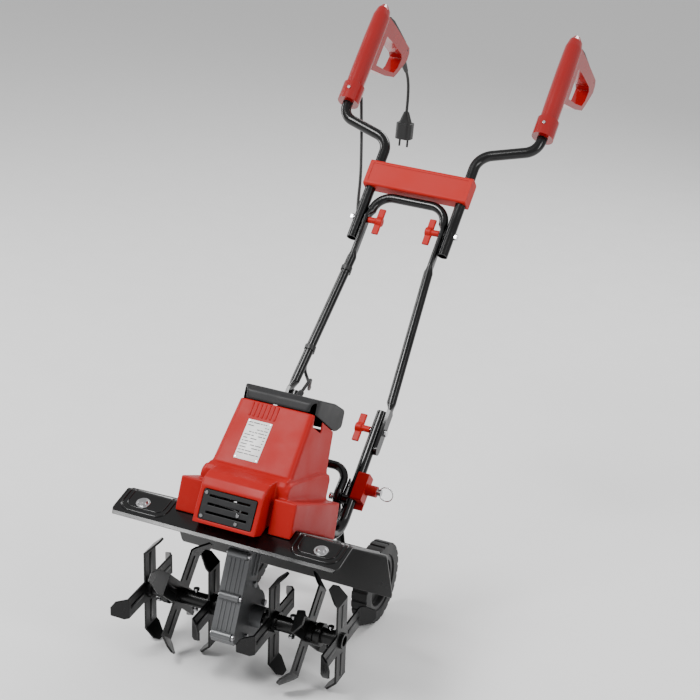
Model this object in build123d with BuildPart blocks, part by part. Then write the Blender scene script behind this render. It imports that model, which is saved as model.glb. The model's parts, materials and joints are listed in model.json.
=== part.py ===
from build123d import *
import math
import os

os.makedirs("parts", exist_ok=True)

# Electric tiller. +Z is up, -Y is forward (the tines lead), +X is on the right when the machine
# is seen from the front. The origin is under the middle of the object, on the ground.

# ---------------------------------------------------------------- driving dimensions
AXIS_Y = -491.8          # tine axis
AXIS_Z = 110.0
MACHINE_LEAN = 17.7      # the gearbox column leans back by this much
HANDLE_ANGLE = 48.6      # rise of the handle above the ground
MIDDLE_LENGTH = 441.4    # between the two fold pivots
LOWER_PIVOT_Y = AXIS_Y + 351.0
LOWER_PIVOT_Z = 381.0
RUNNING = 0.05           # radial play of a shaft in its hole
GAP = 0.3                # play between pieces that pass each other

WHEEL_RADIUS = 82.0
WHEEL_WIDTH = 33.0
WHEEL_X = 136.5
WHEEL_Y = AXIS_Y + 318.0

TINE_WIDTH = 42.0
TINE_STEEL = 4.0
TINE_FOLD_RADIUS = 84.0
TINE_TIP_LENGTH = 36.0
TINE_STATIONS = (62.0, 132.0, 197.5)
SHAFT_RADIUS = 10.0
HUB_RADIUS = 15.0

GUARD_HALF_WIDTH = 225.0
GUARD_STEEL = 2.2
HOUSING_WALL = 3.0
WORM_Y = -46.0           # worm and motor axis, from the tine axis

LOWER_TUBE_X = 93.0
LOWER_TUBE_RADIUS = 11.0
MIDDLE_TUBE_RADIUS = 9.5
UPPER_TUBE_X = 99.7
UPPER_TUBE_RADIUS = 11.0
TUBE_WALL = 1.5
GRIP_X = 217.4
BOLT_RADIUS = 4.0
BRACKET_TUBE_RADIUS = 8.5
BRACKET_X = 70.0

# ---------------------------------------------------------------- frames
lean_sin = math.sin(math.radians(MACHINE_LEAN))
lean_cos = math.cos(math.radians(MACHINE_LEAN))
rise_sin = math.sin(math.radians(HANDLE_ANGLE))
rise_cos = math.cos(math.radians(HANDLE_ANGLE))

# machine frame: origin on the tine axis, z along the gearbox column
machine = Plane(origin=(0, AXIS_Y, AXIS_Z), x_dir=(1, 0, 0), z_dir=(0, lean_sin, lean_cos))
UPPER_PIVOT_Y = LOWER_PIVOT_Y + MIDDLE_LENGTH * rise_cos
UPPER_PIVOT_Z = LOWER_PIVOT_Z + MIDDLE_LENGTH * rise_sin


def side_plane(x):
    """Machine side view at x: sketch x runs back, sketch y runs up the column."""
    origin = machine.from_local_coords((x, 0, 0))
    return Plane(origin=origin, x_dir=machine.y_dir, z_dir=(1, 0, 0))


def level_plane(z):
    """Machine plan view at height z on the column."""
    return Plane(origin=machine.from_local_coords((0, 0, z)), x_dir=(1, 0, 0), z_dir=machine.z_dir)


def handle_plane(upper, x):
    """Handle side view at x: sketch x runs up the handle, sketch y square to it, to the front."""
    y = UPPER_PIVOT_Y if upper else LOWER_PIVOT_Y
    z = UPPER_PIVOT_Z if upper else LOWER_PIVOT_Z
    return Plane(origin=(x, y, z), x_dir=(0, rise_cos, rise_sin), z_dir=(1, 0, 0))


def on_handle(upper, u, v, x):
    """World point at u along the handle, v in front of its axis, and x across."""
    return handle_plane(upper, 0).from_local_coords((u, v, x))


def handle_section(upper, u, v, x):
    """Plane square to the handle at u."""
    return Plane(origin=on_handle(upper, u, v, x), x_dir=(1, 0, 0), z_dir=(0, rise_cos, rise_sin))


def world(x, y, z):
    """Point measured back from the tine axis and up from the ground."""
    return Vector(x, AXIS_Y + y, z)


# ---------------------------------------------------------------- shared shapes
def swept_tube(points, radii, outer, wall=0.0):
    """Round tube along straight runs joined by arcs."""
    with BuildLine() as route:
        if radii:
            FilletPolyline(*points, radius=radii)
        else:
            Line(*points)
    start = Plane(origin=route.line @ 0, z_dir=route.line % 0)
    with BuildSketch(start) as section:
        Circle(outer)
        if wall:
            Circle(outer - wall, mode=Mode.SUBTRACT)
    sweep(section.sketch, path=route.line)


def rod(x_from, x_to, y, z, radius, mode=Mode.ADD):
    """Cylinder along X between two x values, at world y and z."""
    with BuildSketch(Plane(origin=(x_from, y, z), x_dir=(0, 1, 0), z_dir=(1, 0, 0))) as section:
        Circle(radius)
    extrude(section.sketch, amount=x_to - x_from, mode=mode)


def machine_rod(x_from, x_to, y, z, radius, mode=Mode.ADD):
    """Cylinder along X at a place given in the machine frame."""
    place = machine.from_local_coords((0, y, z))
    rod(x_from, x_to, place.Y, place.Z, radius, mode)


def ring_along_x(x_from, x_to, y, z, outer, inner):
    """Round washer, sleeve or bearing along X, at world y and z."""
    with BuildSketch(Plane(origin=(x_from, y, z), x_dir=(0, 1, 0), z_dir=(1, 0, 0))) as section:
        Circle(outer)
        Circle(inner, mode=Mode.SUBTRACT)
    extrude(section.sketch, amount=x_to - x_from)


def prism(plane, points, depth, mode=Mode.ADD):
    """Straight-sided block from an outline drawn on a plane."""
    with BuildSketch(plane) as outline:
        with BuildLine():
            Polyline(*points, close=True)
        make_face()
    extrude(outline.sketch, amount=depth, mode=mode)


def column_rod(y, z_from, z_to, radius, mode=Mode.ADD, x=0.0):
    """Cylinder along the gearbox column."""
    with BuildSketch(level_plane(z_from)) as section:
        with Locations((x, y)):
            Circle(radius)
    extrude(section.sketch, amount=z_to - z_from, mode=mode)


def save(node, name):
    """Label a finished piece and write it."""
    node.part.label = name
    export_step(node.part, f"parts/{name}.step")


def route_radii(points):
    """Arc radius at each inner point: as large as the two runs allow."""
    radii = []
    for before, here, after in zip(points, points[1:], points[2:]):
        run_in = Vector(*here) - Vector(*before)
        run_out = Vector(*after) - Vector(*here)
        turn = math.radians(run_in.get_angle(run_out))
        radii.append(0.45 * min(run_in.length, run_out.length) / math.tan(turn / 2))
    return radii


# ================================================================ deck line
GUARD_PROFILE = ((-182, 146), (-178, 152), (-124, 190), (77, 162), (168, 72), (174, 74))
DECK_SLOPE = math.atan2(190 - 162, 77 + 124)
DECK_BOLT = (177.5, -149.0, 173.0)
FRAME_BOLT_RUNS = (-20.0, 40.0)


def deck_height(y):
    """Top of the guard's deck in the machine frame."""
    if y < -124:
        return 190 + (y + 124) * (190 - 152) / (178 - 124)
    return 190 - (y + 124) * math.tan(DECK_SLOPE)


def under_deck(y):
    """Height just below the guard's deck in the machine frame."""
    return deck_height(y) - GUARD_STEEL - GAP


# ================================================================ gearbox
COLUMN_FRONT = -84.0
COLUMN_BACK = -22.0
COLUMN_BOTTOM = -50.0
GEAR_CASE_RADIUS = 50.0
CASE_HALF_WIDTH = 20.0
FLANGE_HALF_WIDTH = 23.5
BOSS_HEIGHTS = (118.0, 38.0, -34.0)
SIDE_BOLTS = ((-30.0, 62.0), (-22.0, -38.0), (36.0, 22.0))

for side, name in ((-1, "left"), (1, "right")):
    with BuildPart() as gearbox_shell:
        prism(side_plane(0), [(COLUMN_FRONT, under_deck(COLUMN_FRONT)), (COLUMN_BACK, under_deck(COLUMN_BACK)), (COLUMN_BACK, 70),
                              (10, GEAR_CASE_RADIUS - 3), (10, COLUMN_BOTTOM), (COLUMN_FRONT + 12, COLUMN_BOTTOM),
                              (COLUMN_FRONT, COLUMN_BOTTOM + 10)], side * CASE_HALF_WIDTH)
        machine_rod(0, side * CASE_HALF_WIDTH, 0, 0, GEAR_CASE_RADIUS)
        # front flange, its three screw bosses, the bearing boss and two stiffening ribs
        flange_back = COLUMN_FRONT + 12
        prism(side_plane(0), [(COLUMN_FRONT, under_deck(COLUMN_FRONT)), (flange_back, under_deck(flange_back)),
                              (COLUMN_FRONT + 12, COLUMN_BOTTOM), (COLUMN_FRONT, COLUMN_BOTTOM + 10)],
              side * FLANGE_HALF_WIDTH)
        for z in BOSS_HEIGHTS:
            machine_rod(0, side * (FLANGE_HALF_WIDTH - 4), COLUMN_FRONT, z, 8)
        machine_rod(side * (CASE_HALF_WIDTH - 1), side * 44, 0, 0, 21)
        for y in (-52, -36):
            prism(side_plane(side * (CASE_HALF_WIDTH - 1)), [(y, 170), (y + 4, 170), (y + 4, 80), (y, 80)], side * 4)
        # cavities for the worm wheel, the worm, the bearing and the shaft
        machine_rod(0, side * 10, 0, 0, 40, Mode.SUBTRACT)
        column_rod(WORM_Y, -34, 160, 13, Mode.SUBTRACT)
        column_rod(WORM_Y, 155, 185, 6 + 2 * RUNNING, Mode.SUBTRACT)
        machine_rod(0, side * 46, 0, 0, 13, Mode.SUBTRACT)
        machine_rod(side * 26, side * 46, 0, 0, 18, Mode.SUBTRACT)
        for z in BOSS_HEIGHTS:
            machine_rod(-1 * side, side * 30, COLUMN_FRONT, z, 2.6, Mode.SUBTRACT)
            machine_rod(side * (FLANGE_HALF_WIDTH - 4), side * 30, COLUMN_FRONT, z, 5.2, Mode.SUBTRACT)
        for y, z in SIDE_BOLTS:
            machine_rod(-1 * side, side * 30, y, z, 2.6, Mode.SUBTRACT)
    save(gearbox_shell, f"gearbox_shell_{name}")

with BuildPart() as gearbox_bolts:
    for z in BOSS_HEIGHTS:
        machine_rod(-FLANGE_HALF_WIDTH, FLANGE_HALF_WIDTH - 3.9, COLUMN_FRONT, z, 2.5)
        machine_rod(FLANGE_HALF_WIDTH - 3.9, FLANGE_HALF_WIDTH + 1, COLUMN_FRONT, z, 5)
    for y, z in SIDE_BOLTS:
        machine_rod(-CASE_HALF_WIDTH, CASE_HALF_WIDTH, y, z, 2.5)
        machine_rod(CASE_HALF_WIDTH, CASE_HALF_WIDTH + 5, y, z, 6)
save(gearbox_bolts, "gearbox_bolts")

with BuildPart() as output_bearings:
    for x_from, x_to in ((-40, -26.1), (26.1, 40)):
        ring_along_x(x_from, x_to, AXIS_Y, AXIS_Z, 17.95, SHAFT_RADIUS + RUNNING)
save(output_bearings, "output_bearings")

# ---------------------------------------------------------------- turning parts of the drive
HUB_INNER_END = 46.0
HUB_OUTER_END = 205.0
WORM_WHEEL_TEETH = 30

with BuildPart() as output_shaft:
    rod(-190, 190, AXIS_Y, AXIS_Z, SHAFT_RADIUS)
save(output_shaft, "output_shaft")

with BuildPart() as worm_wheel:
    ring_along_x(-8, 8, AXIS_Y, AXIS_Z, 36, SHAFT_RADIUS + RUNNING)
    with BuildSketch(Plane(origin=(-8, AXIS_Y, AXIS_Z), x_dir=(0, 1, 0), z_dir=(1, 0, 0))):
        with PolarLocations(36, WORM_WHEEL_TEETH):
            Circle(1.7)
    extrude(amount=16, mode=Mode.SUBTRACT)
save(worm_wheel, "worm_wheel")

with BuildPart() as worm_shaft:
    column_rod(WORM_Y, -30, 330, 6)
    column_rod(WORM_Y, -22, 22, 9.6)
    for groove in range(5):
        with BuildSketch(level_plane(-18 + 8 * groove)):
            with Locations((0, WORM_Y)):
                Circle(10)
                Circle(7.6, mode=Mode.SUBTRACT)
        extrude(amount=3.5, mode=Mode.SUBTRACT)
save(worm_shaft, "worm_shaft")

with BuildPart() as rotor_core:
    column_rod(WORM_Y, 205, 290, 23.6)
    column_rod(WORM_Y, 290, 304, 14)
    column_rod(WORM_Y, 200, 306, 6 + RUNNING, Mode.SUBTRACT)
save(rotor_core, "rotor_core")

with BuildPart() as cooling_fan:
    column_rod(WORM_Y, 308, 311, 34)
    for blade in range(9):
        with BuildSketch(level_plane(311)):
            with Locations((0, WORM_Y)):
                with PolarLocations(23, 1, start_angle=40 * blade):
                    Rectangle(18, 2)
        extrude(amount=10)
    column_rod(WORM_Y, 311, 321, 12)
    column_rod(WORM_Y, 300, 330, 6 + RUNNING, Mode.SUBTRACT)
save(cooling_fan, "cooling_fan")

with BuildPart() as motor_stator:
    column_rod(WORM_Y, 202, 298, 37.5)
    column_rod(WORM_Y, 200, 300, 24.4, Mode.SUBTRACT)
save(motor_stator, "motor_stator")

# ================================================================ tines
STAR_TURNS = (8.8, 53.8, 8.8)       # how each star is clocked on the shaft
HUB_COLLARS = ((50, 59.8), (64.2, 72), (134.2, 146), (186, 195.3))
TIP_OUTLINE = ((-21, -2), (21, -2), (21, 9), (6, 34.4), (-10, 34.4), (-21, 24))

for side, side_name in ((-1, "left"), (1, "right")):
    with BuildPart() as tine_hub:
        ring_along_x(side * HUB_INNER_END, side * HUB_OUTER_END, AXIS_Y, AXIS_Z, HUB_RADIUS, SHAFT_RADIUS + RUNNING)
        for x_from, x_to in HUB_COLLARS:
            ring_along_x(side * x_from, side * x_to, AXIS_Y, AXIS_Z, 20, HUB_RADIUS - 0.5)
        rod(side * 150, side * 162, AXIS_Y, AXIS_Z, 22)
        rod(side * 40, side * 192, AXIS_Y, AXIS_Z, SHAFT_RADIUS + RUNNING, Mode.SUBTRACT)
        for x in (100, 176):
            with BuildSketch(Plane(origin=(side * x, AXIS_Y, AXIS_Z - 40), x_dir=(1, 0, 0), z_dir=(0, 0, 1))):
                Circle(3.1)
            extrude(amount=80, mode=Mode.SUBTRACT)
    save(tine_hub, f"tine_hub_{side_name}")

    for station, (x, turn) in enumerate(zip(TINE_STATIONS, STAR_TURNS)):
        inward = 1 if station == 2 else -1
        with BuildPart() as star:
            arm_dir = (0, math.cos(math.radians(turn)), math.sin(math.radians(turn)))
            flat = Plane(origin=(side * x - TINE_STEEL / 2, AXIS_Y, AXIS_Z), x_dir=arm_dir, z_dir=(1, 0, 0))
            with BuildSketch(flat):
                Rectangle(2 * TINE_FOLD_RADIUS, TINE_WIDTH)
                Rectangle(TINE_WIDTH, 2 * TINE_FOLD_RADIUS)
                Circle(HUB_RADIUS + RUNNING, mode=Mode.SUBTRACT)
            extrude(amount=TINE_STEEL)
            for arm in range(4):
                # front and back arms fold one way, top and bottom arms the other
                fold = side * inward * (1 if arm % 2 == 0 else -1)
                angle = math.radians(90 * arm)
                outward = flat.x_dir * math.cos(angle) + flat.y_dir * math.sin(angle)
                across = flat.y_dir * math.cos(angle) - flat.x_dir * math.sin(angle)
                slant = (outward + Vector(1, 0, 0) * fold).normalized()
                root = flat.origin + Vector(TINE_STEEL / 2, 0, 0) + outward * TINE_FOLD_RADIUS
                face = Plane(origin=root, x_dir=across, z_dir=across.cross(slant))
                with BuildSketch(face.offset(-TINE_STEEL / 2)):
                    with BuildLine():
                        Polyline(*TIP_OUTLINE, close=True)
                    make_face()
                extrude(amount=TINE_STEEL)
        save(star, f"tine_star_{side_name}_{station + 1}")

with BuildPart() as hub_bolts:
    for x in (-176, -100, 100, 176):
        for z_from, length, radius in ((-19, 38, 3.0), (19, 4, 6), (-23, 4, 6)):
            with BuildSketch(Plane(origin=(x, AXIS_Y, AXIS_Z + z_from), z_dir=(0, 0, 1))):
                Circle(radius)
            extrude(amount=length)
    rod(-190.2, 190.2, AXIS_Y, AXIS_Z, SHAFT_RADIUS + RUNNING, Mode.SUBTRACT)
save(hub_bolts, "hub_bolts")

# ================================================================ guard
with BuildPart() as tine_guard:
    with BuildSketch(side_plane(-GUARD_HALF_WIDTH)):
        with BuildLine():
            FilletPolyline(*GUARD_PROFILE, radius=(3, 14, 26, 2))
            offset(amount=GUARD_STEEL, side=Side.RIGHT)
        make_face()
    extrude(amount=2 * GUARD_HALF_WIDTH)
    with BuildSketch(level_plane(50)):
        with Locations((0, -5)):
            RectangleRounded(2 * GUARD_HALF_WIDTH, 358, 16)
    extrude(amount=160, mode=Mode.INTERSECT)
    # hole for the motor spindle and its register, and the bolt holes
    column_rod(WORM_Y, 150, 200, 22, Mode.SUBTRACT)
    for side in (-1, 1):
        column_rod(DECK_BOLT[1], 140, 200, 4.2, Mode.SUBTRACT, x=side * DECK_BOLT[0])
        for y in FRAME_BOLT_RUNS:
            column_rod(y, 140, 200, 4.2, Mode.SUBTRACT, x=side * LOWER_TUBE_X)
save(tine_guard, "tine_guard")

# ================================================================ motor housing
TUBE_START = (28.3, 298.4)
BEND_RUN = -222.0          # along the handle line from the lower pivot
FOOT_INNER = 78.0
FOOT_OUTER = 115.0
TOWER_TOP_HALF = 75.0
TOWER_FOOT_HALF = 82.0
SHOULDER_HALF = 88.0
BULGE_HALF = 62.0
SEAM_FRONT = (-52.0, 395.0)
SEAM_BACK = (69.0, 361.0)


def housing_body(inset, mode):
    """Union of the housing's volumes, each drawn in by the wall thickness when inset is given."""
    # lower box with a shoulder that rises to the back, and the leaning tower
    half = SHOULDER_HALF - inset
    box = [(-131 + inset, 120), (-131 + inset, 262 - inset), (-126 + inset, 271 - inset), (-116, 276 - inset),
           (12, 291 - inset), (62 - inset, 289 - inset), (70 - inset, 280 - inset), (71 - inset, 120)]
    prism(side_plane(-half + 8), box, 2 * half - 16, mode)
    low_box = [(y, z - 7 if z > 200 else z) for y, z in box]
    prism(side_plane(-half), low_box, 2 * half, mode)
    sections = ((238, -131, 71, TOWER_FOOT_HALF), (400, -50, 70, TOWER_TOP_HALF))
    with BuildSketch(level_plane(sections[0][0])) as lower:
        z, front, back, half = sections[0]
        with Locations((0, (front + back) / 2)):
            RectangleRounded(2 * (half - inset), back - front - 2 * inset, 10)
    with BuildSketch(level_plane(sections[1][0])) as upper:
        z, front, back, half = sections[1]
        with Locations((0, (front + back) / 2)):
            RectangleRounded(2 * (half - inset), back - front - 2 * inset, 10)
    loft([lower.sketch.faces()[0], upper.sketch.faces()[0]], mode=mode)
    # bulge over the grille
    half = BULGE_HALF - inset
    bulge = [(-60, 120), (-149 + inset, 120), (-149 + inset, 170 + inset), (-184 + inset, 170 + inset),
             (-176 + inset, 238 - inset), (-170 + inset, 252 - inset), (-156 + inset, 263 - inset),
             (-114, 274 - inset), (-60, 278 - inset)]
    prism(side_plane(-half), bulge, 2 * half, mode)
    # two feet over the frame tubes
    for side in (-1, 1):
        start = side * (FOOT_INNER - 8 + inset)
        prism(side_plane(start), [(-145 + inset, 120), (-149 + inset, 241 - inset),
                                  (73 - inset, 234 - inset), (88 - inset, 150), (88 - inset, 120)],
              side * (FOOT_OUTER - FOOT_INNER + 8 - 2 * inset), mode)


GRILLE_HALF = 52.0
GRILLE_LOW = 178.0
GRILLE_HIGH = 232.0


def grille_slope(z):
    """Machine y of the bulge's front face at height z."""
    return -184 + (z - 168) * (184 - 176) / (238 - 168)


with BuildPart() as motor_housing:
    housing_body(0, Mode.ADD)
    with BuildSketch(level_plane(100)):
        with Locations((0, -40)):
            RectangleRounded(2 * FOOT_OUTER, 300, 7)
    extrude(amount=320, mode=Mode.INTERSECT)
    housing_body(HOUSING_WALL, Mode.SUBTRACT)
    # the deck runs under the housing
    under = [(-200, 100), (-200, deck_height(-200) + 0.6), (-124, 190.8), (90, deck_height(90) + 0.6), (160, 100)]
    prism(side_plane(-140), under, 280, Mode.SUBTRACT)
    # the cover seam slopes down towards the back
    above = [(-140, 440), (-140, 420), SEAM_FRONT, SEAM_BACK, (140, 341), (140, 440)]
    prism(side_plane(-140), above, 280, Mode.SUBTRACT)
    # window behind the grille
    window = [(-200, GRILLE_LOW), (-150, GRILLE_LOW), (-150, GRILLE_HIGH), (-200, GRILLE_HIGH)]
    prism(side_plane(-GRILLE_HALF), window, 2 * GRILLE_HALF, Mode.SUBTRACT)
    # the frame tubes leave through the backs of the feet
    for side in (-1, 1):
        tube_start = world(side * LOWER_TUBE_X, *TUBE_START)
        run = on_handle(False, BEND_RUN, 0, side * LOWER_TUBE_X) - tube_start
        with BuildSketch(Plane(origin=tube_start, z_dir=run)):
            Circle(LOWER_TUBE_RADIUS + 1)
        extrude(amount=run.length, mode=Mode.SUBTRACT)
    # side outlets just under the cover
    for side in (-1, 1):
        vent = [(-44, 372), (-2, 360), (-2, 400), (-44, 400)]
        prism(side_plane(side * 68), vent, side * 14, Mode.SUBTRACT)
save(motor_housing, "motor_housing")

with BuildPart() as front_grille:
    frame_points = [(grille_slope(GRILLE_LOW) - 1, GRILLE_LOW + 0.3), (grille_slope(GRILLE_LOW) + 5, GRILLE_LOW + 0.3),
                    (grille_slope(GRILLE_HIGH) + 5, GRILLE_HIGH - 0.3),
                    (grille_slope(GRILLE_HIGH) - 1, GRILLE_HIGH - 0.3)]
    prism(side_plane(-GRILLE_HALF + 0.3), frame_points, 2 * GRILLE_HALF - 0.6)
    for slot in range(3):
        z = 190 + 15 * slot
        cut = [(-190, z), (-170, z), (-170, z + 4), (-190, z + 4)]
        prism(side_plane(-40), cut, 80, Mode.SUBTRACT)
save(front_grille, "front_grille")

COVER_OUTLINE = ((-53, 395.5), (-50, 412), (-38, 421), (53, 414), (100, 404), (120, 392), (123, 382), (114, 372),
                 (84, 362), (69, 361.4))
SLEEVE_ROOT = world(-22, 205, 462)
SLEEVE_AXIS = Vector(0, 0.94, 0.342)
SLEEVE_LENGTH = 32.0
with BuildPart() as top_cover:
    prism(side_plane(-76), COVER_OUTLINE, 152)
    with BuildSketch(level_plane(340)):
        with Locations((0, 35)):
            RectangleRounded(152, 178, 26)
    extrude(amount=100, mode=Mode.INTERSECT)
    hollow = ((-49, 390), (-47, 410), (-36, 417.5), (52, 410.5), (99, 400.5), (116, 390), (118, 383), (110, 375),
              (80, 365), (60, 350))
    prism(side_plane(-72), hollow, 144, Mode.SUBTRACT)
    # moulded sleeve where the supply cable comes in
    with BuildSketch(Plane(origin=SLEEVE_ROOT, z_dir=SLEEVE_AXIS)) as sleeve:
        Circle(6.5)
    extrude(amount=SLEEVE_LENGTH)
save(top_cover, "top_cover")

with BuildPart() as housing_screws:
    for x, z in ((22, 184), (22, 199), (-46, 184), (-46, 226)):
        place = machine.from_local_coords((x, grille_slope(z) - 1.5, z))
        with BuildSketch(Plane(origin=place, z_dir=machine.y_dir)):
            Circle(3)
        extrude(amount=-2)
save(housing_screws, "housing_screws")

# ================================================================ lower frame
LOWER_TUBE_TOP = 41.0
BRACKET_PIVOT = (237.0, 276.0)
LOCK_RUN = -120.0
LOCK_HOLE = on_handle(False, LOCK_RUN, 0, 0)

for side, name in ((-1, "left"), (1, "right")):
    x = side * LOWER_TUBE_X
    with BuildPart() as lower_tube:
        swept_tube([world(x, *TUBE_START), on_handle(False, BEND_RUN, 0, x), on_handle(False, LOWER_TUBE_TOP, 0, x)],
                   [50], LOWER_TUBE_RADIUS, TUBE_WALL)
        # boss for the wheel carrier's pivot bolt
        rod(side * (LOWER_TUBE_X - LOWER_TUBE_RADIUS - 0.6), side * LOWER_TUBE_X, AXIS_Y + BRACKET_PIVOT[0],
            BRACKET_PIVOT[1], 8.6)
        # a wall of the boss must not close the tube's bore
        with BuildSketch(handle_section(False, -180, 0, x)):
            Circle(LOWER_TUBE_RADIUS - TUBE_WALL)
        extrude(amount=180 + LOWER_TUBE_TOP + 1, mode=Mode.SUBTRACT)
        rod(side * 70, side * 110, AXIS_Y + BRACKET_PIVOT[0], BRACKET_PIVOT[1], BOLT_RADIUS + RUNNING, Mode.SUBTRACT)
        rod(side * 70, side * 110, LOWER_PIVOT_Y, LOWER_PIVOT_Z, BOLT_RADIUS + RUNNING, Mode.SUBTRACT)
        rod(side * 76, side * 110, LOCK_HOLE.Y, LOCK_HOLE.Z, 4.3, Mode.SUBTRACT)
        for y in FRAME_BOLT_RUNS:
            column_rod(y, 150, 230, 4.2, Mode.SUBTRACT, x=x)
    save(lower_tube, f"lower_tube_{name}")

with BuildPart() as deck_bolts:
    for side in (-1, 1):
        foot = machine.from_local_coords((side * DECK_BOLT[0], DECK_BOLT[1], DECK_BOLT[2]))
        deck_front = Plane(origin=foot, x_dir=(1, 0, 0), z_dir=machine.z_dir).rotated((35, 0, 0))
        with BuildSketch(deck_front.offset(0.8)):
            Circle(10)
        extrude(amount=5, taper=28)
        column_rod(DECK_BOLT[1], 152, DECK_BOLT[2] + 2, 4, x=side * DECK_BOLT[0])
        column_rod(DECK_BOLT[1], 152, 160, 7, x=side * DECK_BOLT[0])
        for y in FRAME_BOLT_RUNS:
            column_rod(y, deck_height(y) - 10, deck_height(y) + 30, 4, x=side * LOWER_TUBE_X)
            column_rod(y, deck_height(y) + 24.5, deck_height(y) + 30, 6.5, x=side * LOWER_TUBE_X)
            column_rod(y, deck_height(y) - 10, deck_height(y) - 4, 7, x=side * LOWER_TUBE_X)
save(deck_bolts, "deck_bolts")

# ---------------------------------------------------------------- lock on the right-hand tube
LOCK_OUTER = 117.0
BARREL_END = 138.0
with BuildPart() as lock_housing:
    with BuildSketch(handle_plane(False, LOWER_TUBE_X + 1)):
        with Locations((LOCK_RUN, 0)):
            RectangleRounded(56, 31, 3)
    extrude(amount=LOCK_OUTER - LOWER_TUBE_X - 1)
    rod(LOCK_OUTER - 1, BARREL_END, LOCK_HOLE.Y, LOCK_HOLE.Z, 11)
    # lower skirt with its window
    skirt = [(LOCK_RUN - 40, -15), (LOCK_RUN - 27, -15), (LOCK_RUN - 27, -11), (LOCK_RUN - 40, -11)]
    prism(handle_plane(False, LOWER_TUBE_X + 1), skirt, LOCK_OUTER - LOWER_TUBE_X - 1)
    # bore over the tube
    with BuildSketch(handle_section(False, LOCK_RUN - 45, 0, LOWER_TUBE_X)):
        Circle(LOWER_TUBE_RADIUS + 0.1)
    extrude(amount=90, mode=Mode.SUBTRACT)
    rod(LOWER_TUBE_X, 111, LOCK_HOLE.Y, LOCK_HOLE.Z, 4 + RUNNING, Mode.SUBTRACT)
    rod(111, BARREL_END - 2, LOCK_HOLE.Y, LOCK_HOLE.Z, 7.6, Mode.SUBTRACT)
    rod(111, BARREL_END + 2, LOCK_HOLE.Y, LOCK_HOLE.Z, 4 + RUNNING, Mode.SUBTRACT)
save(lock_housing, "lock_housing")

PIN_NOSE = 81.0           # just clear of the lock plate
PIN_HEAD = 147.0
RING_X = 143.0
with BuildPart() as lock_pin:
    rod(PIN_NOSE, PIN_HEAD, LOCK_HOLE.Y, LOCK_HOLE.Z, 4)
    rod(111.4, 114.4, LOCK_HOLE.Y, LOCK_HOLE.Z, 7.3)
    rod(BARREL_END + 0.4, PIN_HEAD, LOCK_HOLE.Y, LOCK_HOLE.Z, 6.5)
    with BuildSketch(Plane(origin=(RING_X, LOCK_HOLE.Y, LOCK_HOLE.Z - 10), z_dir=(0, 0, 1))):
        Circle(3.2)
    extrude(amount=20, mode=Mode.SUBTRACT)
save(lock_pin, "lock_pin")

with BuildPart() as lock_spring:
    for turn in range(6):
        middle = 116 + 3.6 * turn
        ring_along_x(middle - 0.7, middle + 0.7, LOCK_HOLE.Y, LOCK_HOLE.Z, 7.0, 5.4)
save(lock_spring, "lock_spring")

RING_RADIUS = 14.0
with BuildPart() as pull_ring:
    ring_middle = (RING_X + RING_RADIUS, LOCK_HOLE.Y, LOCK_HOLE.Z)
    with BuildSketch(Plane(origin=(RING_X, LOCK_HOLE.Y, LOCK_HOLE.Z), z_dir=(0, 0, 1))):
        Circle(1.2)
    revolve(axis=Axis(ring_middle, (0, 1, 0)), revolution_arc=360)
save(pull_ring, "pull_ring")

# ================================================================ wheel carrier
AXLE_RADIUS = 6.0
CARRIER_CORNER = (232.0, 277.0)
CARRIER_TOP = (283.0, 320.0)
CARRIER_FOOT = (322.0, 72.0)
WHEELS_UP = 65.0          # swing from working to raised
with BuildPart() as wheel_bracket:
    right_leg = [world(BRACKET_X, *CARRIER_FOOT), world(BRACKET_X, *CARRIER_CORNER), world(BRACKET_X, *CARRIER_TOP)]
    left_leg = [world(-BRACKET_X, p.Y - AXIS_Y, p.Z) for p in reversed(right_leg)]
    swept_tube(right_leg + left_leg, [25, 30, 30, 25], BRACKET_TUBE_RADIUS, TUBE_WALL)
    # lock plate on the right leg, with a hole for each of the two positions
    lock_arm = LOCK_HOLE - world(0, *BRACKET_PIVOT)
    lock_reach = lock_arm.length
    lock_angle = math.degrees(math.atan2(lock_arm.Z, lock_arm.Y))
    pivot_plane = Plane(origin=(77.6, AXIS_Y + BRACKET_PIVOT[0], BRACKET_PIVOT[1]), x_dir=(0, 1, 0), z_dir=(1, 0, 0))
    with BuildSketch(pivot_plane):
        with BuildLine():
            first = PolarLine((0, 0), 47, 38)
            second = PolarLine((0, 0), 47, -62)
            RadiusArc(first @ 1, second @ 1, 47)
        make_face()
        Circle(12)
        with PolarLocations(lock_reach, 2, start_angle=lock_angle - WHEELS_UP, angular_range=WHEELS_UP, endpoint=True):
            Circle(4.4, mode=Mode.SUBTRACT)
    extrude(amount=2.6)
    rod(-90, 90, AXIS_Y + BRACKET_PIVOT[0], BRACKET_PIVOT[1], BOLT_RADIUS + RUNNING, Mode.SUBTRACT)
    rod(-90, 90, WHEEL_Y, WHEEL_RADIUS, AXLE_RADIUS + RUNNING, Mode.SUBTRACT)
save(wheel_bracket, "wheel_bracket")

with BuildPart() as bracket_bolts:
    for side in (-1, 1):
        rod(side * 56, side * 91, AXIS_Y + BRACKET_PIVOT[0], BRACKET_PIVOT[1], BOLT_RADIUS)
        rod(side * 55, side * 60.5, AXIS_Y + BRACKET_PIVOT[0], BRACKET_PIVOT[1], 7)
save(bracket_bolts, "bracket_bolts")

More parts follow.
